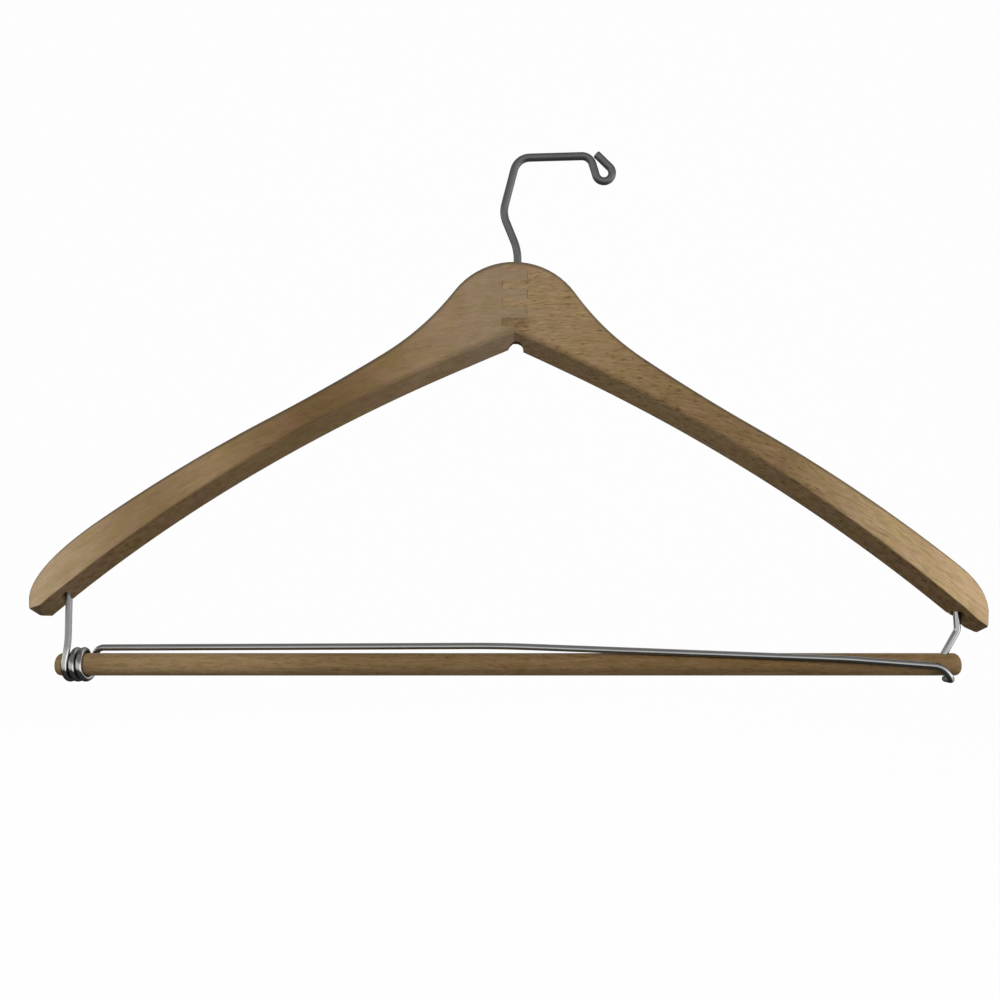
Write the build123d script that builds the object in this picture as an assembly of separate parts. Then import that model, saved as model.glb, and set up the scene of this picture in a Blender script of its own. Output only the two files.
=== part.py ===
from build123d import *

import math
import os

# A wooden clothes hanger with a trouser bar and a wire that locks trousers onto the bar.
# Millimetres. X runs to the right along the shoulders as the hanger is seen from its front,
# Y away from the viewer and Z up. The origin is on the hook's swivel axis, level with the
# underside of the hook's flat top, where a closet rail carries the hanger.

# Wooden arms: sizes of the whole body, with places along it measured from its centre line
body_offset = -1.0
body_thickness = 17.0
head_top = -47.3
head_depth = 37.6
half_span = 211.9

# Top edge: rounds one after another, each tangent to the next, with their turns in degrees
head_radius = 33.6
head_turn_angle = 52.8
neck_radius = 118.6
neck_turn_angle = 20.2
shoulder_radius = 836.0
shoulder_turn_angle = 4.0
arm_radius = 697.0
tip_run = 10.1
tip_drop = 24.6
top_edge_round = 2.5

# Inner edge: one long round that starts at the apex, and the bevels that make it an edge
inner_radius = 823.5
inner_start_angle = 22.3
heel_inset = 6.5
ridge_end_inset = 9.6
bevel_width = 6.6
heel_bevel = 5.4
toe_run = 5.1
toe_drop = 2.1
ridge_run = 4.5
ridge_drop = 4.1

# Finger joint between the arms
finger_height = 4.13
finger_zone = 11.2
finger_land = 4.4
finger_end_gap = 0.25
left_finger_rows = (0, 2, 4)
right_finger_rows = (1, 3, 5)

# Swivel hook: wire, shank and the points of its bent line
hook_wire_radius = 1.7
shank_clearance = 0.1
shank_bend = (0.0, -40.5)
kink = (-6.2, -24.1)
flat_start = -1.4
flat_end = 32.0
flat_rise = 1.9
curl_centre = (38.2, -5.15)
curl_radius = 3.9
hook_tip = (35.05, 4.0)
shank_bend_radius = 30.0
kink_radius = 5.5
flat_start_radius = 5.2
flat_end_radius = 4.8
hook_tip_round = 0.7
button_radius = 2.8
button_height = 1.4
button_round = 0.5

# Washer and the socket that holds it with the riveted end of the shank
hook_socket_radius = 3.4
hook_socket_depth = 7.9
washer_thickness = 0.8
washer_side_gap = 0.1
washer_float = 0.05

# Trouser bar, set level with the floor while the body leans a little
bar_radius = 5.0
bar_end_inset = 7.8
bar_offset = -0.9
bar_drop = 22.0
bar_tilt_angle = 1.1
bar_end_round = 1.5

# Spring wire: one wire on the real hanger, from the left arm round the bar to the lock's end
wire_radius = 1.3
coil_clearance = 0.1
coil_pitch = 3.2
coil_half_turns = 5
coil_inset = 7.6
least_coil_gap = 0.4
left_hole_inset = 14.1
left_socket_radius = 2.4
left_socket_depth = 5.0
left_mouth_depth = 0.5
wire_hole_depth = 14.0
wire_hole_spare = 1.0
wire_hole_clearance = 0.03
leg_straight = 3.0
leg_bend_radius = 18.0
mouth_bend_radius = 9.0

# Lock wire: places along the bar are measured from the bar's right end, and places round it
# are shares of the distance at which the wire clears the bar
root_gap = 0.1
root_bend_radius = 4.0
lock_gap = 0.55
lock_crown_inset = 199.1
lock_crown_rise = 2.05
lock_crown_radius = 700.0
lock_shoulder_inset = 54.1
lock_shoulder_shares = (-0.9, 0.5)
lock_shoulder_radius = 180.0
lock_turn_in_inset = 16.1
lock_turn_in_shares = (-1.005, -0.03)
lock_turn_in_radius = 24.0
lock_elbow_inset = 6.9
lock_elbow_shares = (-0.935, -0.85)
lock_elbow_radius = 4.4
lock_end_inset = 5.7
lock_end_shares = (0.41, -1.0)
wire_end_round = 0.4

# Link wire at the right, from the arm into the top of the bar
right_hole_inset = 10.6
right_socket_radius = 3.0
right_socket_depth = 8.7
link_mouth_depth = 4.7
link_mouth_radius = 20.0
link_bend_out = 0.8
link_bend_drop = 4.3
link_bend_radius = 4.0
link_seat_inset = 7.6
link_in_bar = 6.5

# One overrun serves every cut, and this many measuring points lie on each millimetre of a wire
overrun = 5.0
points_per_mm = 3.0

# Sizes that follow from the ones above
apex_height = head_top - head_depth
bar_length = 2 * (half_span - bar_end_inset)
hook_socket_top = apex_height + hook_socket_depth
wire_hole_radius = wire_radius + wire_hole_clearance
shank_hole_radius = hook_wire_radius + shank_clearance
left_hole_x = body_offset - half_span + left_hole_inset
right_hole_x = body_offset + half_span - right_hole_inset


def turn_along(start, slope, radius, turn):
    """Middle and end of a round that leaves start at a downward slope and turns by turn degrees."""
    sign = math.copysign(1.0, turn)
    points = []
    for share in (0.5, 1.0):
        angle = math.radians(abs(turn) * share)
        chord = 2 * radius * math.sin(angle / 2)
        direction = -math.radians(slope) - sign * angle / 2
        points.append((start[0] + chord * math.cos(direction), start[1] + chord * math.sin(direction)))
    return points


def top_rounds():
    """The rounds of one arm's top edge, from the head to the tip, as start, middle and end."""
    rounds = []
    point = (0.0, head_top)
    slope = 0.0
    for radius, turn in (
        (head_radius, head_turn_angle),
        (neck_radius, -neck_turn_angle),
        (shoulder_radius, -shoulder_turn_angle),
    ):
        middle, end = turn_along(point, slope, radius, turn)
        rounds.append((point, middle, end))
        point = end
        slope += turn
    arm_reach = half_span - tip_run - point[0]
    arm_end_slope = math.degrees(math.asin(math.sin(math.radians(slope)) + arm_reach / arm_radius))
    middle, end = turn_along(point, slope, arm_radius, arm_end_slope - slope)
    rounds.append((point, middle, end))
    half_turn = math.degrees(math.atan2(tip_drop, tip_run)) - arm_end_slope
    tip_radius = math.hypot(tip_run, tip_drop) / (2 * math.sin(math.radians(half_turn)))
    middle, tip = turn_along(end, arm_end_slope, tip_radius, 2 * half_turn)
    rounds.append((end, middle, tip))
    return rounds


def tip_height():
    """The height of an arm's tip."""
    return top_rounds()[-1][2][1]


def inner_place(offset, reach):
    """A point beside the inner edge, offset into the wood, at this reach from the centre line."""
    centre_x = -inner_radius * math.sin(math.radians(inner_start_angle))
    centre_z = apex_height - inner_radius * math.cos(math.radians(inner_start_angle))
    return reach, centre_z + math.sqrt((inner_radius + offset) ** 2 - (reach - centre_x) ** 2)


def inner_round(offset, end_offset, end_reach):
    """Start, middle and end of the lower edge of one section of an arm."""
    return [
        inner_place(offset, 0.0),
        inner_place(offset, end_reach / 2),
        inner_place(end_offset, end_reach),
    ]


def arm_section(y, lower, corner):
    """Face across one arm at depth y, with this lower round and this corner beside the tip."""

    def at(point):
        return Vector(point[0], y, point[1])

    top = top_rounds()
    tip = top[-1][2]
    edges = [Line(at(lower[0]), at(top[0][0]))]
    edges += [ThreePointArc(at(a), at(b), at(c)) for a, b, c in top]
    edges.append(Line(at(tip), at(corner)))
    edges.append(Line(at(corner), at(lower[2])))
    edges.append(ThreePointArc(at(lower[2]), at(lower[1]), at(lower[0])))
    return Face(Wire(edges))


def half_body():
    """The right half of the wooden body, V-shaped below, before the joint and the holes."""
    depth = body_thickness / 2
    ridge = inner_round(bevel_width, heel_bevel, half_span - ridge_end_inset)
    ridge_corner = (ridge[2][0] + ridge_run, ridge[2][1] - ridge_drop)
    edge = inner_round(0.0, 0.0, half_span - heel_inset)
    edge_corner = (edge[2][0] + toe_run, edge[2][1] - toe_drop)
    front = arm_section(-depth, ridge, ridge_corner)
    middle = arm_section(0.0, edge, edge_corner)
    back = arm_section(depth, ridge, ridge_corner)
    half = loft([front, middle, back], ruled=True)
    top = [middle_point for _, middle_point, _ in top_rounds()]
    chosen = []
    for line in half.edges():
        centre = line @ 0.5
        on_face = abs(abs(centre.Y) - depth) < top_edge_round / 10
        on_top = any(math.hypot(centre.X - x, centre.Z - z) < top_edge_round for x, z in top)
        if on_face and on_top:
            chosen.append(line)
    return fillet(chosen, top_edge_round)


def finger_block(row, low_x, high_x):
    """A block as high as one finger and deeper than the body; row -1 reaches over the head."""
    top = head_top - finger_land - row * finger_height
    low = top - finger_height
    if row < 0:
        top = head_top + overrun
    return Pos((low_x + high_x) / 2, 0, (low + top) / 2) * Box(
        high_x - low_x, body_thickness + 2 * overrun, top - low
    )


def upright_hole(x, radius, low, high):
    """A round cutter along Z."""
    return Pos(x, 0, (low + high) / 2) * Cylinder(radius, high - low)


def wooden_arms():
    """Both arms, joined by fingers that run through the middle of the head."""
    right_half = half_body()
    left_half = Pos(body_offset, 0, 0) * mirror(right_half, about=Plane.YZ)
    right_half = Pos(body_offset, 0, 0) * right_half
    reach = finger_zone / 2
    left_arm = left_half
    right_arm = right_half
    for row in left_finger_rows:
        tongue = finger_block(row, body_offset, body_offset + reach - finger_end_gap)
        left_arm += right_half & tongue
        right_arm -= finger_block(row, body_offset, body_offset + reach)
    for row in (-1,) + right_finger_rows:
        tongue = finger_block(row, body_offset - reach + finger_end_gap, body_offset)
        right_arm += left_half & tongue
        left_arm -= finger_block(row, body_offset - reach, body_offset)
    shank = upright_hole(0, shank_hole_radius, hook_socket_top, head_top + overrun)
    socket = upright_hole(0, hook_socket_radius, apex_height - overrun, hook_socket_top)
    left_arm -= [shank, socket] + arm_hole(left_hole_x, left_socket_radius, left_socket_depth)
    right_arm -= [shank, socket] + arm_hole(right_hole_x, right_socket_radius, right_socket_depth)
    return left_arm, right_arm


def edge_height(x):
    """The height of the body's lower edge at this place of the whole hanger."""
    return inner_place(0.0, abs(x - body_offset))[1]


def arm_hole(x, socket_radius, socket_depth):
    """Cutters for the wide mouth and the close hole that take a wire under an arm."""
    top = edge_height(x) + socket_depth
    return [
        upright_hole(x, socket_radius, edge_height(x) - overrun, top),
        upright_hole(x, wire_hole_radius, top, top + wire_hole_depth),
    ]


def wire_along(path, radius):
    """A round wire along a path."""
    return sweep(Plane(origin=path @ 0, z_dir=path % 0) * Circle(radius), path)


def round_end(shape, point, radius):
    """The same wire with the rim at one end rounded off."""
    rim = shape.edges().filter_by(GeomType.CIRCLE).sort_by_distance(point)[0]
    return fillet(rim, radius)


def touch_point(centre, radius, outside, side):
    """Where a straight line from an outside point touches a circle, on one side of it."""
    dx = outside[0] - centre[0]
    dz = outside[1] - centre[1]
    angle = math.atan2(dz, dx) + side * math.acos(radius / math.hypot(dx, dz))
    return centre[0] + radius * math.cos(angle), centre[1] + radius * math.sin(angle)


def least_distance(edges, apart):
    """The least distance between two places on a wire's line that lie this far apart along it."""
    places = []
    passed = 0.0
    for edge in edges:
        steps = max(2, round(edge.length * points_per_mm))
        places += [(passed + edge.length * k / steps, edge @ (k / steps)) for k in range(steps)]
        passed += edge.length
    return min(
        (q - p).length for i, (s, p) in enumerate(places) for t, q in places[i:] if t - s > apart
    )


def swivel_hook():
    """The bent hook with the riveted button that keeps its shank in the head."""

    def at(point):
        return Vector(point[0], 0, point[1])

    shank_foot = (0.0, hook_socket_top - washer_thickness - washer_float - button_height)
    flat = [(flat_start, hook_wire_radius - flat_rise / 2), (flat_end, hook_wire_radius + flat_rise / 2)]
    curl_in = touch_point(curl_centre, curl_radius, flat[1], 1)
    curl_out = touch_point(curl_centre, curl_radius, hook_tip, -1)
    curl_low = (curl_centre[0], curl_centre[1] - curl_radius)
    bent = FilletPolyline(
        *[at(p) for p in (shank_foot, shank_bend, kink, *flat, curl_in)],
        radius=[shank_bend_radius, kink_radius, flat_start_radius, flat_end_radius],
    )
    curl = ThreePointArc(at(curl_in), at(curl_low), at(curl_out))
    path = Wire(bent.edges() + curl.edges() + Line(at(curl_out), at(hook_tip)).edges())
    hook = round_end(wire_along(path, hook_wire_radius), at(hook_tip), hook_tip_round)
    button = Pos(0, 0, shank_foot[1] + button_height / 2) * Cylinder(button_radius, button_height)
    button = fillet(button.edges().group_by(Axis.Z)[0], button_round)
    gap = least_distance(path.edges(), math.pi * curl_radius) - 2 * hook_wire_radius
    print(f"hook: least gap between its tip and its own wire {gap:.2f} mm")
    return hook + button


def hook_washer():
    """The washer that the riveted end of the shank bears on."""
    ring = Cylinder(hook_socket_radius - washer_side_gap, washer_thickness)
    ring -= Cylinder(shank_hole_radius, washer_thickness + overrun)
    return Pos(0, 0, hook_socket_top - washer_thickness / 2) * ring


def at_bar(x, y, z):
    """A place seen from the middle of the bar, x along it, as a place of the whole hanger."""
    lean = math.radians(bar_tilt_angle)
    return Vector(
        bar_offset + x * math.cos(lean) - z * math.sin(lean),
        y,
        tip_height() - bar_drop + x * math.sin(lean) + z * math.cos(lean),
    )


def trouser_bar():
    """The round wooden bar, drilled for the link wire."""
    bar = Cylinder(bar_radius, bar_length)
    bar = fillet(bar.edges().filter_by(GeomType.CIRCLE), bar_end_round)
    bar = Pos(*at_bar(0, 0, 0)) * Rot(0, 90 - bar_tilt_angle, 0) * bar
    bend, foot = link_bend(), link_foot()
    drill = Plane(origin=foot, z_dir=bend - foot) * Cylinder(
        wire_hole_radius, (bend - foot).length, align=(Align.CENTER, Align.CENTER, Align.MIN)
    )
    return bar - drill


def link_bend():
    """The link wire's bend between the arm and the bar."""
    return Vector(right_hole_x + link_bend_out, 0, edge_height(right_hole_x) - link_bend_drop)


def link_foot():
    """The lower end of the link wire, inside the bar."""
    seat = at_bar(bar_length / 2 - link_seat_inset, 0, bar_radius)
    return seat + (seat - link_bend()).normalized() * link_in_bar


def wire_top(x, socket_depth):
    """The upper end of a wire that stands in an arm's hole."""
    return Vector(x, 0, edge_height(x) + socket_depth + wire_hole_depth - wire_hole_spare)


def link_wire():
    """The short bent wire between the right arm and the bar."""
    path = FilletPolyline(
        wire_top(right_hole_x, right_socket_depth),
        Vector(right_hole_x, 0, edge_height(right_hole_x) + link_mouth_depth),
        link_bend(),
        link_foot(),
        radius=[link_mouth_radius, link_bend_radius],
    )
    return wire_along(path, wire_radius)


def biarc(start, start_way, end, end_way):
    """Two tangent rounds from start to end that leave and arrive along the given ways."""
    gap = end - start
    ways = start_way + end_way
    a = 2 * (1 - start_way.dot(end_way))
    b = 2 * gap.dot(ways)
    reach = (math.sqrt(b * b + 4 * a * gap.dot(gap)) - b) / (2 * a)
    first = start + start_way * reach
    last = end - end_way * reach
    middle = (first + last) * 0.5
    return [
        TangentArc(start, middle, tangent=start_way),
        TangentArc(middle, end, tangent=last - first),
    ]


def coil_radius():
    """From the bar's axis to the middle of the wire that is wound round it."""
    return bar_radius + coil_clearance + wire_radius


def coil_x(half_turns):
    """How far along the bar the wound wire is after this many half turns."""
    return coil_inset - bar_length / 2 + coil_pitch / 2 * half_turns


def coil_place(half_turns):
    """The middle of the wound wire after this many half turns, from the front of the bar down."""
    angle = math.pi * half_turns
    return at_bar(
        coil_x(half_turns),
        -coil_radius() * math.cos(angle),
        -coil_radius() * math.sin(angle),
    )


def coil_way(half_turns):
    """The wire's direction there, square to the bar at both ends of the coil."""
    advance = coil_pitch
    if half_turns in (0, coil_half_turns):
        advance = 0.0
    angle = math.pi * half_turns
    round_bar = 2 * math.pi * coil_radius()
    way = at_bar(advance, round_bar * math.sin(angle), -round_bar * math.cos(angle)) - at_bar(0, 0, 0)
    return way.normalized()


def coil_edges():
    """The coil's rounds, two for each half turn."""
    edges = []
    for turn in range(coil_half_turns):
        edges += biarc(coil_place(turn), coil_way(turn), coil_place(turn + 1), coil_way(turn + 1))
    return edges


def spring_wire():
    """The left leg and the coil, as one unbroken wire that the bar hangs in."""
    coil = coil_edges()
    gap = least_distance([edge.edge() for edge in coil], math.pi * coil_radius()) - 2 * wire_radius
    print(f"coil: least gap to itself {gap:.2f} mm, wanted over {least_coil_gap:.2f} mm")
    start = coil_place(0)
    straight = start - coil_way(0) * leg_straight
    mouth = Vector(left_hole_x, 0, edge_height(left_hole_x) + left_mouth_depth)
    leg = FilletPolyline(
        wire_top(left_hole_x, left_socket_depth),
        mouth,
        straight,
        start,
        radius=[mouth_bend_radius, leg_bend_radius],
    )
    return wire_along(Wire(leg.edges() + [edge.edge() for edge in coil]), wire_radius)


def root_place(height):
    """A point on the lock's swing axis, at a height above the middle of the bar."""
    return at_bar(coil_x(coil_half_turns), coil_radius(), height)


def lock_place(inset, shares):
    """A point of the lock wire beside the bar, from its distance to the bar's right end."""
    clear = bar_radius + wire_radius + lock_gap
    return at_bar(bar_length / 2 - inset, clear * shares[0], clear * shares[1])


def lock_wire():
    """The long wire over the bar, which swings forward off the bar to let trousers in."""
    low = bar_radius + wire_radius + lock_gap
    path = FilletPolyline(
        root_place(root_gap),
        root_place(low),
        at_bar(bar_length / 2 - lock_crown_inset, 0, low + lock_crown_rise),
        lock_place(lock_shoulder_inset, lock_shoulder_shares),
        lock_place(lock_turn_in_inset, lock_turn_in_shares),
        lock_place(lock_elbow_inset, lock_elbow_shares),
        lock_place(lock_end_inset, lock_end_shares),
        radius=[
            root_bend_radius,
            lock_crown_radius,
            lock_shoulder_radius,
            lock_turn_in_radius,
            lock_elbow_radius,
        ],
    )
    print(f"lock wire: {path.length:.1f} mm long")
    return round_end(wire_along(path, wire_radius), path @ 1, wire_end_round)


def main():
    """Build every piece and write it to its own file."""
    left_arm, right_arm = wooden_arms()
    pieces = {
        "left_arm": left_arm,
        "right_arm": right_arm,
        "swivel_hook": swivel_hook(),
        "hook_washer": hook_washer(),
        "trouser_bar": trouser_bar(),
        "spring_wire": spring_wire(),
        "lock_wire": lock_wire(),
        "link_wire": link_wire(),
    }
    swing = root_place(0)
    down = swing - root_place(bar_radius)
    print(f"lock swings about ({swing.X:.3f}, {swing.Y:.3f}, {swing.Z:.3f}), axis {down.normalized()}")
    os.makedirs("parts", exist_ok=True)
    for name, piece in pieces.items():
        export_step(piece, f"parts/{name}.step")


main()
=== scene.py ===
import math

import bmesh
import bpy
import numpy as np
from mathutils import Matrix, Vector


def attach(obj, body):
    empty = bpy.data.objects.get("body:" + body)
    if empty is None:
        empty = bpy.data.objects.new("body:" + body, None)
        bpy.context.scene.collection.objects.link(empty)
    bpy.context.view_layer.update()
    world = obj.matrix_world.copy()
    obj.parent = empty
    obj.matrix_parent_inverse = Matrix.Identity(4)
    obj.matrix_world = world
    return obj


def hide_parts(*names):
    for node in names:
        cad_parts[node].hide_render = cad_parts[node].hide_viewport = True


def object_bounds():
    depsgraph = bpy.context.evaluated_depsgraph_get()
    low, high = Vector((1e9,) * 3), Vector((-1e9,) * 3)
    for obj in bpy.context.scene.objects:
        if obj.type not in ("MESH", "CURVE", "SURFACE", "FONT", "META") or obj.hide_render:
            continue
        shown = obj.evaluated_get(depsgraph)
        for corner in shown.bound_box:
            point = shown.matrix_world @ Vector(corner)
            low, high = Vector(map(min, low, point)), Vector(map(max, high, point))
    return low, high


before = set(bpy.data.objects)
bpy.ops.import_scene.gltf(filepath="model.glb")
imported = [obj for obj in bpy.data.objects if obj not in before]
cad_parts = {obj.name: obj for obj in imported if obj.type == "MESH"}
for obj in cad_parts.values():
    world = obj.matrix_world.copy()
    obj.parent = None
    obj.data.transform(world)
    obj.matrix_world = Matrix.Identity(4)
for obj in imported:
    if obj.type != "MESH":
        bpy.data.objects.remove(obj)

bl_info = {
    "name": "Trouser hanger",
    "version": (1, 0, 0),
    "blender": (4, 5, 0),
    "location": "View3D > Sidebar > Hanger",
    "description": "Builds a wooden trouser hanger with a locking wire over its packed solids",
    "category": "Object",
}

CAD_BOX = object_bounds()
MM = 0.001

# The wooden body's line, in millimetres from its own centre line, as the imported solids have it
BODY_OFFSET = -1.0
HALF_DEPTH = 8.5
HALF_SPAN = 211.9
HEAD_TOP = -47.3
APEX = -84.9
TOP_ROUNDS = ((33.6, 52.8, 24), (118.6, -20.2, 24), (836.0, -4.0, 24))
ARM_RADIUS = 697.0
TIP = (10.1, 24.6)
INNER_RADIUS = 823.5
INNER_START = math.radians(22.3)
RIDGE_OFFSETS = (6.6, 5.4)
RIDGE_END = 202.3
RIDGE_CORNER = (4.5, -4.1)
EDGE_END = 205.4
EDGE_CORNERS = {-1: (4.9, 0.1), 1: (5.1, -2.1)}
LAST_TOP_SHARE = 0.982
STATIONS = 88
# The arms are shaped by hand, so each has its own tip and its own sag of the lower lines near the tip
TIP_STARTS = {-1: 178.0, 1: 198.0}
TIP_HANDLES = {-1: (9.75, 16.6, -15.8), 1: (13.7, 12.0, -8.0)}
WIDEST_REACH = 212.05
LOWER_SAG = {-1: (0.35, 1.7), 1: (0.2, 0.0)}
EDGE_SAG = {-1: 0.9, 1: 0.0}

# Finger joint and holes
FINGER_TOP = -51.7
FINGER_HEIGHT = 4.13
FINGER_REACH = 5.6
FINGER_ROWS = 6
FINGER_GAP = 0.2
LEFT_HOLE = -198.8
RIGHT_HOLE = 200.3
HOLE_RADIUS = 1.48
HOLE_DEPTH = 13.2
LEFT_SOCKET = (1.8, 5.0)
RIGHT_SOCKET = (2.1, 8.7)
HOOK_SOCKET = (3.4, 7.9)
SOCKET_FRONT = -3.4
# Cuts that open a hole's mouth: shift along the hanger, share of the way to SOCKET_FRONT, extra radius
MOUTH_CUTS = ((0.0, 0.5, 0.01), (0.0, 1.0, 0.02))
FLANK_CUT = (-2.3, 0.3, 0.2)
MOUTH_RISE = 4.4
HOLE_SPARE = 0.4
SHANK_HOLE = 1.86
SHANK_SINK = 0.6
NOTCH = (0.35, -85.1, 3.0)
SLOT_DEPTH = 0.6
SHARP_ANGLE = math.radians(32)

# Bar and wires
BAR_LENGTH = 408.2
BAR_ENDS_INSET = (1.6, 1.4)
BAR_OFFSET = -0.9
BAR_DROP = 22.0
BAR_TILT = math.radians(1.1)
WIRE_TO_BAR = 0.1
COIL_INSET = 7.6
COIL_PITCH = 3.2
COIL_HALF_TURNS = 5
COIL_STEPS = 20
COIL_SQUASH = 0.953
END_STEPS = 5
BAR_END_ROUND = 0.0022
BAR_SIDES = 64
# The leg's knee above the coil: how far right, share of the coil's depth, how far up
LEG_KNEE = (0.8, 0.78, 10.0)
# The lock wire: the gap between it and the bar, and how far it dips at its root. The crest is an inset from
# the bar's right end, a rise and a bend. The other bends are an inset, a place round the bar and a bend.
LOCK_LIFT = 0.55
LOCK_DIP = 0.53
LOCK_CREST = (208.0, 1.3, 700.0)
LOCK_BENDS = ((54.1, -0.9, 0.5, 180.0), (12.0, -1.005, 0.06, 9.0), (6.9, -0.92, -0.86, 4.0),
              (6.2, 0.41, -1.0, 0.0))
# The link wire: its bends above and below the arm's lower edge, and its seat in the bar
LINK_MOUTH = 4.7
LINK_BEND = (0.8, -4.3)
LINK_INSET = 7.6
LINK_DEPTH = 6.5
# The hook: corners of its line with their bends, and the curl at its end
HOOK_BENDS = ((0.0, -78.2, 0.0), (0.0, -40.5, 22.0), (-7.05, -24.1, 12.0), (-1.02, 1.02, 7.4),
              (31.7, 2.57, 5.0))
CURL_CENTRE = (38.1, -5.0)
CURL_RADIUS = 3.7
HOOK_TIP = (34.45, 3.5)
# The shank's riveted end and its washer: radii, and depths under the top of their socket
BUTTON = ((0.0, 0.85), (2.8, 0.85), (2.8, 1.75), (2.65, 2.05), (2.3, 2.25), (0.0, 2.25))
WASHER = ((1.8, 0.0), (3.2, 0.0), (3.3, 0.1), (3.3, 0.7), (3.2, 0.8), (1.8, 0.8))

# Looks of the wood. Flow is how the grain falls with the distance from the joint. Tones, tones of the faces
# turned down and fading (of the colour) are stops along the piece, each a place in metres and a value. On
# the arms the tones are partly the wood's own and partly painted light: the paler tips and the darker
# middle stand in for how the light falls. The tones of the faces turned down are painted shade and light,
# in place of the light those faces get. The top shade darkens faces turned upwards, a painted shade. One
# finger of the joint is darker by its own amount.
WOOD_LOOKS = {
    "left_arm": {
        "side": -1,
        "flow": (0.1, 0.0016),
        "tones_and_light": ((0.0, 0.29), (0.04, 0.29), (0.08, 0.1), (0.1, 0.13), (0.135, 0.34), (0.16, 0.3),
                  (0.18, 0.44), (0.21, 0.76)),
        "underside_shade_stops": ((0.0, 0.4), (0.1, 0.27), (0.21, 0.22)),
        "fading": ((0.0, 0.86), (0.07, 1.02), (0.16, 1.02), (0.21, 0.9)),
        "grain": {"Fibre": 0.22, "Flecks": 0.05, "Bands": 0.02, "Band Spacing": 46.0, "Patches": 1.0},
        "top_shade": 0.6,
        "dark_patch": 0.0,
    },
    "right_arm": {
        "side": 1,
        "flow": (-0.15, 0.0023),
        "tones_and_light": ((0.0, 0.335), (0.035, 0.3), (0.08, 0.185), (0.12, 0.215), (0.15, 0.5), (0.185, 0.71),
                  (0.213, 0.98)),
        "underside_shade_stops": ((0.0, 0.27), (0.06, 0.32), (0.21, 0.22)),
        "fading": ((0.0, 0.96), (0.05, 1.03), (0.21, 1.06)),
        "grain": {"Fibre": 0.42, "Flecks": 0.2, "Bands": 0.03, "Band Spacing": 110.0, "Patches": 0.7},
        "top_shade": 0.6,
        "dark_patch": 0.17,
    },
    "bar": {
        "side": 1,
        "flow": (-math.tan(BAR_TILT), 0.0),
        "tones_and_light": ((-0.2, 0.26), (-0.14, 0.34), (-0.08, 0.18), (-0.02, 0.13), (0.04, 0.11), (0.13, 0.065),
                  (0.2, 0.18)),
        "underside_shade_stops": ((-0.2, 0.26), (0.2, 0.29)),
        "fading": ((-0.2, 1.0), (0.2, 1.0)),
        "grain": {"Fibre": 0.36, "Flecks": 0.1, "Bands": 0.06, "Band Spacing": 90.0, "Patches": 0.6},
        "top_shade": 0.0,
        "dark_patch": 0.0,
    },
}
# The duller leg at the left, above the bar: where it starts along X and Z, in metres, and its roughness
LEG_SIDE = (-0.14, -0.16)
LEG_RISE = (-0.226, -0.2215)
LEG_ROUGHNESS = 0.6

# Paper sweep and lamps, in metres
SWEEP_FRONT = -0.25
SWEEP_BACK = 0.9
SWEEP_ROUND = 0.6
SWEEP_STEPS = 16
SWEEP_HEIGHT = 3.0
SWEEP_HALF_WIDTH = 3.0
KEY_LAMP = ((0.22, -1.12, 0.5), 0.9)
BACK_LAMP = ((-0.2, 0.85, 0.05), 0.6)

HANGER = "hanger"


class BodySettings(bpy.types.PropertyGroup):
    """Rounds of the wood and the size of the bar"""
    top_round: bpy.props.FloatProperty(
        name="Top Round", description="Width of the round along the top edges",
        default=0.0025, unit="LENGTH", precision=5)
    head_ridge_round: bpy.props.FloatProperty(
        name="Head Ridge Round", description="How softly the lower bevel starts beside the joint",
        default=0.0026, unit="LENGTH", precision=5)
    tip_ridge_round: bpy.props.FloatProperty(
        name="Tip Ridge Round", description="How softly the lower bevel ends at the tips",
        default=0.0005, unit="LENGTH", precision=5)
    edge_round: bpy.props.FloatProperty(
        name="Lower Edge Round", description="Width of the round along the lowest edge",
        default=0.0009, unit="LENGTH", precision=5)
    tip_top_round: bpy.props.FloatProperty(
        name="Tip Top Round", description="Width of the round along the top edges at the tips",
        default=0.0009, unit="LENGTH", precision=5)
    end_round: bpy.props.FloatProperty(
        name="End Round", description="Width of the rounds at the tips' end faces",
        default=0.0005, unit="LENGTH", precision=5)
    bar_radius: bpy.props.FloatProperty(
        name="Bar Radius", description="Radius of the trouser bar",
        default=0.005, unit="LENGTH", precision=5)


class WireSettings(bpy.types.PropertyGroup):
    """Sizes of the wires"""
    hook_radius: bpy.props.FloatProperty(
        name="Hook Wire Radius", description="Radius of the swivel hook's wire",
        default=0.00177, unit="LENGTH", precision=5)
    spring_radius: bpy.props.FloatProperty(
        name="Spring Wire Radius", description="Radius of the wire of coil, lock and link",
        default=0.00145, unit="LENGTH", precision=5)
    bend_steps: bpy.props.IntProperty(
        name="Bend Steps", description="Straight pieces in each bend of a wire", default=14, min=2)
    sides: bpy.props.IntProperty(
        name="Wire Sides", description="Faces round a wire", default=28, min=8)


class FinishSettings(bpy.types.PropertyGroup):
    """Tones of wood and steel"""
    pale_beech: bpy.props.FloatVectorProperty(
        name="Pale Beech", description="Palest tone of the wood",
        default=(0.69, 0.49, 0.265), subtype="COLOR")
    dark_beech: bpy.props.FloatVectorProperty(
        name="Dark Beech", description="Darkest tone of the wood",
        default=(0.136, 0.075, 0.025), subtype="COLOR")
    hook_steel: bpy.props.FloatVectorProperty(
        name="Hook Steel", description="Tone of the dull hook wire",
        default=(0.155, 0.162, 0.157), subtype="COLOR")
    spring_steel: bpy.props.FloatVectorProperty(
        name="Spring Steel", description="Tone of the bright spring wire",
        default=(0.46, 0.46, 0.45), subtype="COLOR")


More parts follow.
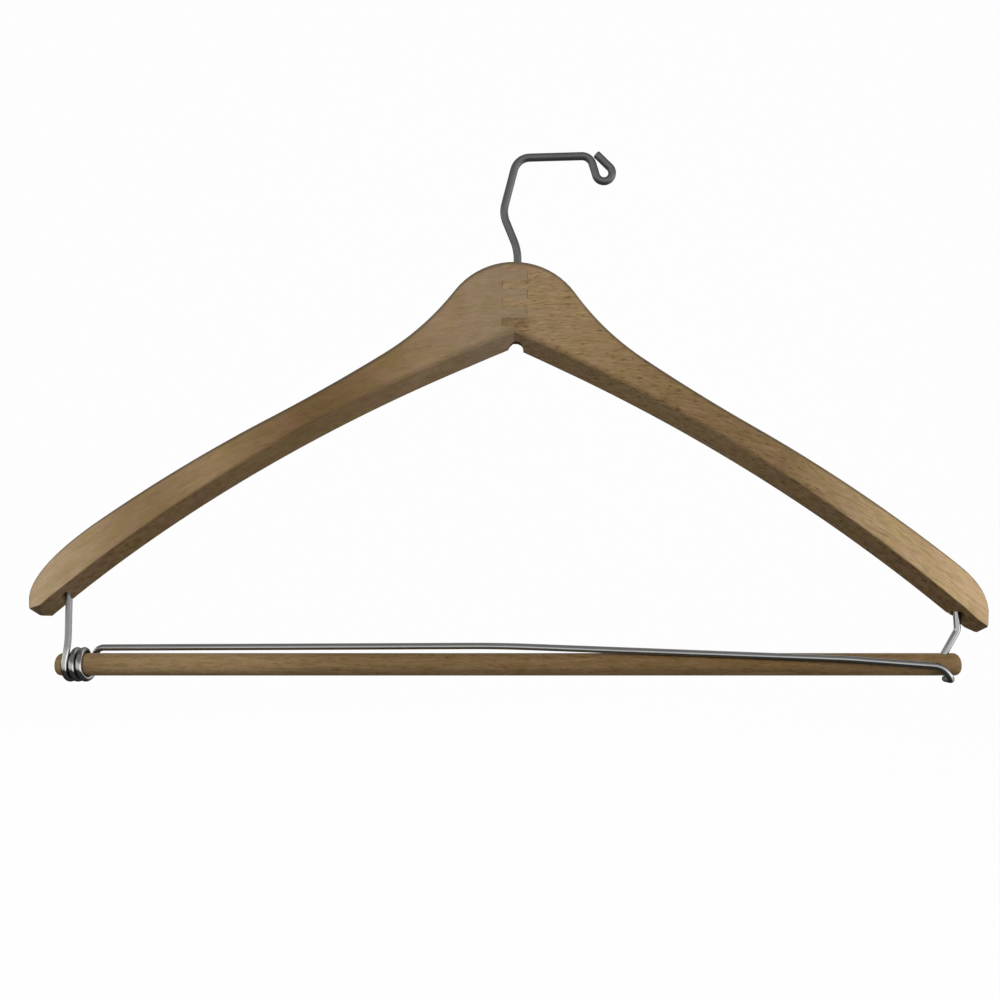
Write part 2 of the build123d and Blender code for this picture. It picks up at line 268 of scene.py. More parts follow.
class StageSettings(bpy.types.PropertyGroup):
    """Camera, light and the room that gloss shows"""
    camera_place: bpy.props.FloatVectorProperty(
        name="Camera Place", description="Where the camera stands",
        default=(-0.00582, -0.420, -0.1530), subtype="TRANSLATION", unit="LENGTH", precision=5)
    camera_roll: bpy.props.FloatProperty(
        name="Camera Roll", description="Turn of the camera about its view",
        default=math.radians(1.1), subtype="ANGLE")
    lens: bpy.props.FloatProperty(
        name="Lens", description="Focal length on a 36 mm wide sensor",
        default=33.6, min=1.0, subtype="DISTANCE_CAMERA")
    floor_drop: bpy.props.FloatProperty(
        name="Floor Drop", description="How far the floor lies under the bar",
        default=0.22, min=0.0, unit="LENGTH")
    ambient: bpy.props.FloatProperty(
        name="Ambient Light", description="Strength of the light from all sides", default=0.2, min=0.0)
    front_gloss: bpy.props.FloatProperty(
        name="Front Gloss", description="Brightness of the dim room in front that gloss shows",
        default=0.05, min=0.0)
    band_gloss: bpy.props.FloatProperty(
        name="Band Gloss", description="Brightness of the wall in front that gloss shows",
        default=0.95, min=0.0)
    top_gloss: bpy.props.FloatProperty(
        name="Top Gloss", description="Brightness of the ceiling that gloss shows",
        default=0.25, min=0.0)
    side_gloss: bpy.props.FloatProperty(
        name="Side Gloss", description="Brightness of the white sides that gloss shows",
        default=2.2, min=0.0)
    back_gloss: bpy.props.FloatProperty(
        name="Back Gloss", description="Brightness of the backdrop that gloss shows",
        default=0.4, min=0.0)
    key_power: bpy.props.FloatProperty(
        name="Key Lamp", description="Power of the large lamp above the front",
        default=13.2, min=0.0, subtype="POWER", unit="POWER")
    back_power: bpy.props.FloatProperty(
        name="Back Lamp", description="Power of the weak lamp behind the hanger",
        default=3.0, min=0.0, subtype="POWER", unit="POWER")


def settings(kind):
    """The settings of one kind in this scene."""
    return getattr(bpy.context.scene, f"{HANGER}_{kind}")


def node(tree, kind, values=None, **fields):
    """A node with its fields set and its inputs set or linked."""
    made = tree.nodes.new(kind)
    for name, value in fields.items():
        setattr(made, name, value)
    for key, value in (values or {}).items():
        if isinstance(value, bpy.types.NodeSocket):
            tree.links.new(value, made.inputs[key])
        else:
            made.inputs[key].default_value = value
    return made


def math_node(tree, operation, first, second=0.0, third=0.0, clamp=False):
    """The result of one sum."""
    return node(tree, "ShaderNodeMath", {0: first, 1: second, 2: third},
                operation=operation, use_clamp=clamp).outputs[0]


def new_group(name, kind, inputs, outputs):
    """A node group with named sockets, and its input and output nodes."""
    tree = bpy.data.node_groups.new(name, kind)
    for title, socket, default in inputs:
        made = tree.interface.new_socket(title, in_out="INPUT", socket_type=socket)
        if default is not None:
            made.default_value = default
    for title, socket in outputs:
        tree.interface.new_socket(title, in_out="OUTPUT", socket_type=socket)
    return tree, tree.nodes.new("NodeGroupInput").outputs, tree.nodes.new("NodeGroupOutput").inputs


def stretched(tree, place, scales):
    """A place with each of its axes scaled."""
    return node(tree, "ShaderNodeVectorMath", {0: place, 1: scales}, operation="MULTIPLY").outputs[0]


def noise(tree, place, detail=3.0, roughness=0.5, distortion=0.0):
    """A noise value between 0 and 1."""
    values = {"Vector": place, "Scale": 1.0, "Detail": detail, "Roughness": roughness,
              "Distortion": distortion}
    return node(tree, "ShaderNodeTexNoise", values).outputs["Fac"]


def remap(tree, value, low, high, to_low=0.0, to_high=1.0):
    """A value spread from one range to another and held inside it."""
    return node(tree, "ShaderNodeMapRange", {0: value, 1: low, 2: high, 3: to_low, 4: to_high}).outputs[0]


def mixed(tree, share, first, second, blend="MIX"):
    """Two colours mixed."""
    made = node(tree, "ShaderNodeMix", {0: share, 6: first, 7: second}, data_type="RGBA", blend_type=blend)
    return made.outputs[2]


def grain_group():
    """Beech: fibres, ray flecks, pores, patches and growth bands along X of the place it is given."""
    tree, given, out = new_group(
        "Beech grain", "ShaderNodeTree",
        [("Place", "NodeSocketVector", None), ("Pale", "NodeSocketColor", None),
         ("Dark", "NodeSocketColor", None), ("Tone", "NodeSocketFloat", 0.4),
         ("Fibre", "NodeSocketFloat", 0.3), ("Flecks", "NodeSocketFloat", 0.2),
         ("Bands", "NodeSocketFloat", 0.1), ("Band Spacing", "NodeSocketFloat", 110.0),
         ("Patches", "NodeSocketFloat", 1.0)],
        [("Color", "NodeSocketColor"), ("Roughness", "NodeSocketFloat"), ("Height", "NodeSocketFloat")])
    place = given["Place"]
    fibre = noise(tree, stretched(tree, place, (75.0, 420.0, 700.0)), 6.0, 0.72, 0.9)
    fine = noise(tree, stretched(tree, place, (240.0, 1100.0, 1900.0)), 4.0, 0.65)
    mottle = noise(tree, stretched(tree, place, (34.0, 80.0, 70.0)), 4.0, 0.6, 0.8)
    bands = node(tree, "ShaderNodeTexWave",
                 {"Vector": place, "Scale": given["Band Spacing"], "Distortion": 5.0, "Detail": 3.0,
                  "Detail Scale": 0.35, "Detail Roughness": 0.55},
                 wave_type="BANDS", bands_direction="Z", wave_profile="SAW").outputs["Fac"]
    fleck_noise = noise(tree, stretched(tree, place, (280.0, 700.0, 1300.0)), 2.0, 0.5, 0.3)
    flecks = remap(tree, fleck_noise, 0.58, 0.68)
    tone = given["Tone"]
    depth = math_node(tree, "MULTIPLY_ADD", tone, 2.4, 0.45)
    for value, amount in ((fibre, given["Fibre"]),
                          (fine, math_node(tree, "MULTIPLY", given["Fibre"], 1.1)),
                          (bands, given["Bands"]),
                          (mottle, math_node(tree, "MULTIPLY", given["Patches"], 0.17))):
        amount = math_node(tree, "MULTIPLY", amount, depth)
        tone = math_node(tree, "MULTIPLY_ADD", math_node(tree, "SUBTRACT", value, 0.5), amount, tone)
    lost = math_node(tree, "MULTIPLY", flecks, given["Flecks"])
    tone = math_node(tree, "SUBTRACT", tone, lost, clamp=True)
    color = mixed(tree, tone, given["Dark"], given["Pale"])
    hue = noise(tree, stretched(tree, place, (110.0, 150.0, 170.0)), 3.0, 0.55, 0.6)
    tint = mixed(tree, remap(tree, hue, 0.36, 0.64), (0.95, 0.98, 0.86, 1.0), (1.06, 1.02, 1.16, 1.0))
    color = mixed(tree, given["Patches"], color, mixed(tree, 1.0, color, tint, "MULTIPLY"))
    tree.links.new(color, out["Color"])
    tree.links.new(remap(tree, fibre, 0.2, 0.8, 0.6, 0.46), out["Roughness"])
    height = math_node(tree, "MULTIPLY_ADD", fine, 0.4, math_node(tree, "MULTIPLY", fibre, 0.6))
    height = math_node(tree, "SUBTRACT", height, math_node(tree, "MULTIPLY", flecks, 0.5))
    tree.links.new(height, out["Height"])
    return tree


def shade_and_grime_group():
    """Painted shade that darkens faces turned upwards, by the surface's own normal, and handling grime in
    patches.
    """
    tree, given, out = new_group(
        "Handling grime", "ShaderNodeTree",
        [("Color", "NodeSocketColor", None), ("Grime", "NodeSocketColor", None),
         ("Place", "NodeSocketVector", None), ("Normal", "NodeSocketVector", None),
         ("Top", "NodeSocketFloat", 0.6), ("Patches", "NodeSocketFloat", 0.15)],
        [("Color", "NodeSocketColor"), ("Mask", "NodeSocketFloat")])
    # Painted shade on faces turned upwards.
    up = node(tree, "ShaderNodeSeparateXYZ", {0: given["Normal"]}).outputs["Z"]
    top = math_node(tree, "MULTIPLY", remap(tree, up, 0.1, 0.55), given["Top"])
    # Handling grime in random patches.
    patch_noise = noise(tree, stretched(tree, given["Place"], (45.0, 60.0, 60.0)), 5.0, 0.62)
    patches = math_node(tree, "MULTIPLY", remap(tree, patch_noise, 0.5, 0.75), given["Patches"])
    mask = math_node(tree, "MAXIMUM", top, patches, clamp=True)
    tree.links.new(mixed(tree, mask, given["Color"], given["Grime"]), out["Color"])
    tree.links.new(mask, out["Mask"])
    return tree


def drawn_group():
    """Drawn wire: long die marks along the wire, patches of tarnish, and small nicks."""
    tree, given, out = new_group(
        "Drawn wire", "ShaderNodeTree",
        [("Place", "NodeSocketVector", None), ("Pale", "NodeSocketColor", None),
         ("Dark", "NodeSocketColor", None), ("Marks", "NodeSocketFloat", 0.5),
         ("Tarnish", "NodeSocketFloat", 0.4), ("Smooth", "NodeSocketFloat", 0.2),
         ("Dull", "NodeSocketFloat", 0.4)],
        [("Color", "NodeSocketColor"), ("Roughness", "NodeSocketFloat"), ("Height", "NodeSocketFloat")])
    place = given["Place"]
    marks = noise(tree, stretched(tree, place, (2600.0, 2600.0, 55.0)), 4.0, 0.6)
    tarnish = noise(tree, stretched(tree, place, (420.0, 420.0, 160.0)), 5.0, 0.65)
    nicks = noise(tree, stretched(tree, place, (1500.0, 1500.0, 900.0)), 2.0, 0.5)
    tone = math_node(tree, "MULTIPLY", remap(tree, marks, 0.35, 0.75), given["Marks"])
    dark_patch = math_node(tree, "MULTIPLY", remap(tree, tarnish, 0.48, 0.72), given["Tarnish"])
    dark = math_node(tree, "MAXIMUM", tone, dark_patch, clamp=True)
    tree.links.new(mixed(tree, dark, given["Pale"], given["Dark"]), out["Color"])
    rough = math_node(tree, "MAXIMUM", dark_patch, math_node(tree, "MULTIPLY", tone, 0.5), clamp=True)
    rough = math_node(tree, "MULTIPLY_ADD", rough,
                      math_node(tree, "SUBTRACT", given["Dull"], given["Smooth"]), given["Smooth"])
    tree.links.new(rough, out["Roughness"])
    nicked = math_node(tree, "MULTIPLY", remap(tree, nicks, 0.66, 0.74), 0.6)
    tree.links.new(math_node(tree, "SUBTRACT", marks, nicked), out["Height"])
    return tree


def shared_group(name, build):
    """A node group that is built once."""
    return bpy.data.node_groups.get(name) or build()


def new_material(name, roughness=0.5):
    """A material with a Principled BSDF."""
    material = bpy.data.materials.new(name)
    material.use_nodes = True
    tree = material.node_tree
    shader = tree.nodes["Principled BSDF"]
    shader.inputs["Roughness"].default_value = roughness
    return material, tree, shader


def add_bump(tree, shader, height, strength, distance):
    """A bump from a height."""
    bump = node(tree, "ShaderNodeBump", {"Height": height, "Strength": strength, "Distance": distance})
    tree.links.new(bump.outputs["Normal"], shader.inputs["Normal"])


def rgba(color, share=1.0):
    """A colour with its alpha, darkened by a share."""
    return (color[0] * share, color[1] * share, color[2] * share, 1.0)


def along(tree, place, stops):
    """A value that follows a few stops, each a place in metres and a value."""
    first, last = stops[0][0], stops[-1][0]
    ramp = node(tree, "ShaderNodeValToRGB", {0: remap(tree, place, first, last)})
    ramp.color_ramp.interpolation = "CARDINAL"
    points = ramp.color_ramp.elements
    points[0].color = rgba([stops[0][1]] * 3)
    points[1].color = rgba([stops[-1][1]] * 3)
    for at, value in stops[1:-1]:
        points.new((at - first) / (last - first)).color = rgba([value] * 3)
    return ramp.outputs["Color"]


def beech_material(name, look):
    """Beech with satin lacquer, whose grain falls ever more steeply away from the joint, with painted shade
    on faces turned down and up, and tones along it that are partly painted light.
    """
    finish = settings("finish")
    flow = look["flow"]
    material, tree, shader = new_material(name)
    coords = tree.nodes.new("ShaderNodeTexCoord")
    parts = node(tree, "ShaderNodeSeparateXYZ", {0: coords.outputs["Object"]}).outputs
    reach = math_node(tree, "MULTIPLY", math_node(tree, "SUBTRACT", parts["X"], BODY_OFFSET * MM),
                      look["side"])
    slope = math_node(tree, "MULTIPLY_ADD", reach, flow[1] / MM, flow[0])
    fall = math_node(tree, "MULTIPLY", reach, slope)
    across = math_node(tree, "ADD", parts["Z"], fall)
    place = node(tree, "ShaderNodeCombineXYZ", {0: reach, 1: parts["Y"], 2: across}).outputs[0]
    # Painted shade and light: faces turned down get tones of their own, darker than the front towards the
    # tips, in place of the light they get.
    facing = node(tree, "ShaderNodeSeparateXYZ", {0: coords.outputs["Normal"]}).outputs
    front = remap(tree, math_node(tree, "ABSOLUTE", facing["Y"]), 0.66, 0.9)
    below = math_node(tree, "MULTIPLY", math_node(tree, "SUBTRACT", 1.0, front),
                      remap(tree, facing["Z"], 0.25, 0.0))
    # The tones along the piece are partly the wood's own and partly painted light, paler at the arms' tips.
    tone = along(tree, reach, look["tones_and_light"])
    underside_shade = along(tree, reach, look["underside_shade_stops"])
    tone = node(tree, "ShaderNodeMix", {0: below, 2: tone, 3: underside_shade}).outputs[0]
    # Darker patches on faces turned down, towards the tips.
    underside_patches = noise(tree, stretched(tree, coords.outputs["Object"], (260.0, 420.0, 420.0)), 5.0, 0.6)
    underside_patches = math_node(tree, "MULTIPLY", remap(tree, underside_patches, 0.42, 0.66), below)
    underside_patches = math_node(tree, "MULTIPLY", underside_patches, remap(tree, reach, 0.1, 0.18, 0.06, 0.16))
    tone = math_node(tree, "SUBTRACT", tone, underside_patches)
    # One finger of the joint, near the middle, is darker by the look's own amount.
    lowest = FINGER_TOP - (FINGER_ROWS - 1) * FINGER_HEIGHT
    finger = math_node(tree, "MULTIPLY", remap(tree, parts["X"], 0.0075, 0.003, 0.0, look["dark_patch"]),
                       remap(tree, parts["Z"], (lowest + 0.1) * MM, (lowest - 0.3) * MM))
    finger = math_node(tree, "MULTIPLY", finger,
                       remap(tree, parts["Z"], (lowest - FINGER_HEIGHT - 1.0) * MM,
                             (lowest - FINGER_HEIGHT + 0.2) * MM))
    tone = math_node(tree, "SUBTRACT", tone, finger)
    grain = node(tree, "ShaderNodeGroup", node_tree=shared_group("Beech grain", grain_group))
    color = {"Saturation": along(tree, reach, look["fading"]), "Color": grain.outputs["Color"]}
    faded = node(tree, "ShaderNodeHueSaturation", color).outputs[0]
    values = {"Place": place, "Pale": rgba(finish.pale_beech), "Dark": rgba(finish.dark_beech),
              "Tone": tone, **look["grain"]}
    for key, value in values.items():
        set_input(tree, grain, key, value)
    # Painted shade darkens faces turned upwards, and handling grime darkens random patches, both towards
    # one dark colour.
    shade_and_grime = node(tree, "ShaderNodeGroup", node_tree=shared_group("Handling grime", shade_and_grime_group))
    for key, value in (("Color", faded), ("Grime", (0.06, 0.052, 0.036, 1.0)),
                       ("Place", coords.outputs["Object"]), ("Normal", coords.outputs["Normal"]),
                       ("Top", look["top_shade"]), ("Patches", 0.12)):
        set_input(tree, shade_and_grime, key, value)
    tree.links.new(shade_and_grime.outputs["Color"], shader.inputs["Base Color"])
    tree.links.new(grain.outputs["Roughness"], shader.inputs["Roughness"])
    shader.inputs["Specular IOR Level"].default_value = 0.2
    shader.inputs["Coat Weight"].default_value = 0.04
    shader.inputs["Coat Roughness"].default_value = 0.3
    add_bump(tree, shader, grain.outputs["Height"], 0.35, 0.00012)
    return material


def set_input(tree, made, key, value):
    """Set or link one input of a node."""
    if isinstance(value, bpy.types.NodeSocket):
        tree.links.new(value, made.inputs[key])
    else:
        made.inputs[key].default_value = value


def steel_material(name, pale, marks, tarnish, smooth, dull, edge_tint, metallic=1.0, dull_leg=False):
    """Steel wire with die marks along it, which can be duller on the leg at the left."""
    material, tree, shader = new_material(name)
    place = node(tree, "ShaderNodeAttribute", attribute_name="wire_place", attribute_type="GEOMETRY")
    drawn = node(tree, "ShaderNodeGroup", node_tree=shared_group("Drawn wire", drawn_group))
    for key, value in (("Place", place.outputs["Vector"]), ("Pale", rgba(pale)), ("Dark", rgba(pale, 0.45)),
                       ("Marks", marks), ("Tarnish", tarnish), ("Smooth", smooth), ("Dull", dull)):
        set_input(tree, drawn, key, value)
    tree.links.new(drawn.outputs["Color"], shader.inputs["Base Color"])
    roughness = drawn.outputs["Roughness"]
    if dull_leg:
        coords = tree.nodes.new("ShaderNodeTexCoord").outputs["Object"]
        at = node(tree, "ShaderNodeSeparateXYZ", {0: coords}).outputs
        leg = math_node(tree, "MULTIPLY", remap(tree, at["X"], *LEG_SIDE), remap(tree, at["Z"], *LEG_RISE))
        roughness = node(tree, "ShaderNodeMix", {0: leg, 2: roughness, 3: LEG_ROUGHNESS}).outputs[0]
    tree.links.new(roughness, shader.inputs["Roughness"])
    shader.inputs["Metallic"].default_value = metallic
    shader.inputs["Specular Tint"].default_value = edge_tint
    add_bump(tree, shader, drawn.outputs["Height"], 0.25, 0.00004)
    return material


def hook_steel():
    """The dull steel of hook and washer."""
    return bpy.data.materials.get("Dull hook steel") or steel_material(
        "Dull hook steel", settings("finish").hook_steel, 0.4, 0.5, 0.36, 0.5, (0.3, 0.3, 0.3, 1.0), 0.6)


def spring_steel():
    """The bright steel of the spring wire."""
    return bpy.data.materials.get("Bright spring steel") or steel_material(
        "Bright spring steel", settings("finish").spring_steel, 0.25, 0.3, 0.13, 0.26, (0.1, 0.1, 0.1, 1.0),
        dull_leg=True)


def stock_tree():
    """Geometry nodes: round stock bent along a line of corners, with rounded ends."""
    name = "Round stock along a line"
    if name in bpy.data.node_groups:
        return bpy.data.node_groups[name]
    tree, given, out = new_group(
        name, "GeometryNodeTree",
        [("Geometry", "NodeSocketGeometry", None), ("Stock Radius", "NodeSocketFloat", 0.001),
         ("End Round", "NodeSocketFloat", 0.0005), ("Bend Steps", "NodeSocketInt", 12),
         ("Sides", "NodeSocketInt", 24), ("Material", "NodeSocketMaterial", None)],
        [("Geometry", "NodeSocketGeometry")])
    line = node(tree, "GeometryNodeMeshToCurve", {0: given["Geometry"]})
    bend = node(tree, "GeometryNodeInputNamedAttribute", {"Name": "bend"}, data_type="FLOAT")
    bent = node(tree, "GeometryNodeFilletCurve",
                {"Curve": line.outputs[0], "Count": given["Bend Steps"], "Radius": bend.outputs[0],
                 "Limit Radius": True}, mode="POLY")
    passed = node(tree, "GeometryNodeSplineParameter").outputs["Length"]
    whole = node(tree, "GeometryNodeSplineLength").outputs["Length"]
    to_end = math_node(tree, "MINIMUM", passed, math_node(tree, "SUBTRACT", whole, passed))
    share = math_node(tree, "DIVIDE", to_end, given["End Round"])
    short = math_node(tree, "SUBTRACT", 1.0, share, clamp=True)
    squared = math_node(tree, "MULTIPLY", short, short)
    full = math_node(tree, "SQRT", math_node(tree, "SUBTRACT", 1.0, squared))
    lost = math_node(tree, "MULTIPLY", math_node(tree, "SUBTRACT", 1.0, full),
                     math_node(tree, "DIVIDE", given["End Round"], given["Stock Radius"]))
    width = math_node(tree, "SUBTRACT", 1.0, lost)
    keep = node(tree, "GeometryNodeCaptureAttribute", {"Geometry": bent.outputs[0]}, domain="POINT")
    keep.capture_items.new("FLOAT", "Along")
    keep.capture_items.new("FLOAT", "Width")
    tree.links.new(passed, keep.inputs["Along"])
    tree.links.new(width, keep.inputs["Width"])
    circle = node(tree, "GeometryNodeCurvePrimitiveCircle",
                  {"Resolution": given["Sides"], "Radius": given["Stock Radius"]}, mode="RADIUS")
    round_it = node(tree, "GeometryNodeCaptureAttribute", {"Geometry": circle.outputs["Curve"]},
                    domain="POINT")
    round_it.capture_items.new("VECTOR", "Round")
    tree.links.new(node(tree, "GeometryNodeInputPosition").outputs[0], round_it.inputs["Round"])
    solid = node(tree, "GeometryNodeCurveToMesh",
                 {"Curve": keep.outputs["Geometry"], "Profile Curve": round_it.outputs["Geometry"],
                  "Scale": keep.outputs["Width"], "Fill Caps": True})
    ring = node(tree, "ShaderNodeSeparateXYZ", {0: round_it.outputs["Round"]}).outputs
    place = node(tree, "ShaderNodeCombineXYZ", {0: ring["X"], 1: ring["Y"], 2: keep.outputs["Along"]})
    stored = node(tree, "GeometryNodeStoreNamedAttribute",
                  {"Geometry": solid.outputs[0], "Name": "wire_place", "Value": place.outputs[0]},
                  domain="POINT", data_type="FLOAT_VECTOR")
    real = node(tree, "GeometryNodeRealizeInstances", {0: stored.outputs[0]})
    dressed = node(tree, "GeometryNodeSetMaterial",
                   {"Geometry": real.outputs[0], "Material": given["Material"]})
    tree.links.new(dressed.outputs[0], out["Geometry"])
    return tree


def new_object(name, mesh):
    """A mesh object at the origin, in the scene."""
    made = bpy.data.objects.new(name, mesh)
    bpy.context.scene.collection.objects.link(made)
    return made


def soften(mesh):
    """Smooth faces with sharp corners between them."""
    mesh.shade_smooth()
    mesh.set_sharp_from_angle(angle=SHARP_ANGLE)


def freeze(piece):
    """Turn an object's modifiers into a plain mesh with smooth faces and sharp corners."""
    graph = bpy.context.evaluated_depsgraph_get()
    mesh = bpy.data.meshes.new_from_object(
        piece.evaluated_get(graph), preserve_all_data_layers=True, depsgraph=graph)
    piece.modifiers.clear()
    piece.data = mesh
    mesh.name = piece.name
    if not mesh.has_custom_normals:
        soften(mesh)
    return piece


def end_stations(length):
    """Places in a rounded end, from its face inwards."""
    return [length * (1 - math.cos(math.pi / 2 * k / END_STEPS)) for k in range(1, END_STEPS + 1)]


def stock_piece(name, corners, radius, end_round, material, sides=None):
    """Round stock along corners given in millimetres, each with the radius of its bend."""
    wires = settings("wires")
    line = [(Vector(point), bend) for point, bend in corners]
    head = (line[1][0] - line[0][0]).normalized()
    foot = (line[-2][0] - line[-1][0]).normalized()
    steps = end_stations(end_round / MM)
    line = (line[:1] + [(line[0][0] + head * s, 0.0) for s in steps] + line[1:-1]
            + [(line[-1][0] + foot * s, 0.0) for s in reversed(steps)] + line[-1:])
    mesh = bpy.data.meshes.new(name)
    mesh.from_pydata([p * MM for p, _ in line], [(k, k + 1) for k in range(len(line) - 1)], [])
    mesh.attributes.new("bend", "FLOAT", "POINT").data.foreach_set("value", [b * MM for _, b in line])
    piece = new_object(name, mesh)
    tree = stock_tree()
    modifier = piece.modifiers.new("Stock", "NODES")
    modifier.node_group = tree
    values = {"Stock Radius": radius, "End Round": end_round, "Bend Steps": wires.bend_steps,
              "Sides": sides or wires.sides, "Material": material}
    for item in tree.interface.items_tree:
        if item.item_type == "SOCKET" and item.in_out == "INPUT" and item.name in values:
            modifier[item.identifier] = values[item.name]
    piece.update_tag()
    freeze(piece)
    if len(piece.data.polygons) < len(line):
        raise RuntimeError(f"{name} has no surface")
    return piece


def turned(name, profile, place, material=None, steps=48):
    """A solid turned about an upright axis through a place, from its radii and heights in millimetres."""
    mesh = bpy.data.meshes.new(name)
    shape = bmesh.new()
    rings = []
    for radius, height in profile:
        if radius == 0.0:
            rings.append([shape.verts.new((place[0] * MM, place[1] * MM, height * MM))] * steps)
            continue
        rings.append([shape.verts.new(((place[0] + radius * math.cos(a)) * MM,
                                       (place[1] + radius * math.sin(a)) * MM, height * MM))
                      for a in (2 * math.pi * k / steps for k in range(steps))])
    closed = profile[0][0] != 0.0
    pairs = list(zip(rings, rings[1:])) + ([(rings[-1], rings[0])] if closed else [])
    for low, high in pairs:
        for k in range(steps):
            face = dict.fromkeys((low[k], low[(k + 1) % steps], high[(k + 1) % steps], high[k]))
            shape.faces.new(list(face))
    bmesh.ops.recalc_face_normals(shape, faces=shape.faces)
    shape.to_mesh(mesh)
    shape.free()
    if material:
        mesh.materials.append(material)
    return new_object(name, mesh)


def carve(piece, cutter, operation="DIFFERENCE"):
    """Cut one piece with another, which is then removed."""
    modifier = piece.modifiers.new("Cut", "BOOLEAN")
    modifier.object = cutter
    modifier.operation = operation
    modifier.solver = "EXACT"
    graph = bpy.context.evaluated_depsgraph_get()
    mesh = bpy.data.meshes.new_from_object(piece.evaluated_get(graph))
    piece.modifiers.clear()
    piece.data = mesh
    bpy.data.objects.remove(cutter)
    if len(mesh.polygons) == 0:
        raise RuntimeError(f"cutting {piece.name} left nothing")


def turn_points(start, slope, radius, turn, steps):
    """Points on a round that leaves start at a downward slope and turns by turn degrees."""
    sign = math.copysign(1.0, turn)
    points = []
    for k in range(1, steps + 1):
        angle = math.radians(abs(turn)) * k / steps
        chord = 2 * radius * math.sin(angle / 2)
        way = -math.radians(slope) - sign * angle / 2
        points.append((start[0] + chord * math.cos(way), start[1] + chord * math.sin(way)))
    return points


def arm_line():
    """The top edge of an arm from the middle of the head until it turns down to the tip."""
    points = [(0.0, HEAD_TOP)]
    slope = 0.0
    for radius, turn, steps in TOP_ROUNDS:
        points += turn_points(points[-1], slope, radius, turn, steps)
        slope += turn
    reach = HALF_SPAN - TIP[0] - points[-1][0]
    end_slope = math.degrees(math.asin(math.sin(math.radians(slope)) + reach / ARM_RADIUS))
    return points + turn_points(points[-1], slope, ARM_RADIUS, end_slope - slope, STATIONS)


def tip_place():
    """An arm's tip."""
    last = arm_line()[-1]
    return (last[0] + TIP[0], last[1] - TIP[1])


def top_line(side):
    """The top edge of one arm from the middle of the head to the tip."""
    points = [p for p in arm_line() if p[0] <= TIP_STARTS[side]]
    start, before = np.array(points[-1]), np.array(points[-2])
    heading = (start - before) / np.hypot(*(start - before))
    first, second, lean = TIP_HANDLES[side]
    tip = np.array(tip_place())
    down = np.array((math.sin(math.radians(lean)), -math.cos(math.radians(lean))))
    handles = (start, start + first * heading, tip - second * down, tip)
    for k in range(1, STATIONS + 1):
        t = k / STATIONS
        shares = ((1 - t) ** 3, 3 * (1 - t) ** 2 * t, 3 * (1 - t) * t * t, t ** 3)
        x, z = sum(share * handle for share, handle in zip(shares, handles))
        points.append((min(float(x), WIDEST_REACH), float(z)))
    return points


def inner_height(offset, reach):
    """The height of a line beside the inner edge, offset into the wood."""
    centre_x = -INNER_RADIUS * math.sin(INNER_START)
    centre_z = APEX - INNER_RADIUS * math.cos(INNER_START)
    return centre_z + math.sqrt((INNER_RADIUS + offset) ** 2 - (reach - centre_x) ** 2)


def sag(side, reach):
    """How far the lower lines of an arm lie under the drawn ones."""
    level, at_tip = LOWER_SAG[side]
    return (level + at_tip * (reach / EDGE_END) ** 4) * min(1.0, reach / 20.0)


def lower_line(side, offsets, end, corner, extra=0.0):
    """A lower line of one arm, which drifts between two offsets and ends in a corner."""
    points = []
    for k in range(STATIONS + 1):
        share = k / STATIONS
        reach = end * share
        offset = offsets[0] + (offsets[1] - offsets[0]) * max(0.0, 2 * share - 1) ** 1.5
        points.append((reach, inner_height(offset, reach) - sag(side, reach) - extra * share ** 8))
    return points, (points[-1][0] + corner[0], points[-1][1] + corner[1])


def shared_out(points, shares):
    """Places at these shares of a line's length."""
    line = np.array(points)
    passed = np.concatenate([[0.0], np.cumsum(np.hypot(*np.diff(line, axis=0).T))])
    at = np.array(shares) * passed[-1]
    return list(zip(np.interp(at, passed, line[:, 0]), np.interp(at, passed, line[:, 1])))


def arm_sections(side):
    """Sections along one arm, from the middle to the tip: top, ridge and lower edge."""
    shares = [k / (STATIONS - 1) for k in range(STATIONS)]
    line = top_line(side)
    top = shared_out(line, [s * LAST_TOP_SHARE for s in shares]) + [line[-1]]
    ridge, ridge_corner = lower_line(side, RIDGE_OFFSETS, RIDGE_END, RIDGE_CORNER)
    edge, edge_corner = lower_line(side, (0.0, 0.0), EDGE_END, EDGE_CORNERS[side], EDGE_SAG[side])
    ridge = shared_out(ridge, shares) + [ridge_corner]
    return list(zip(top, ridge, shared_out(edge, shares) + [edge_corner]))


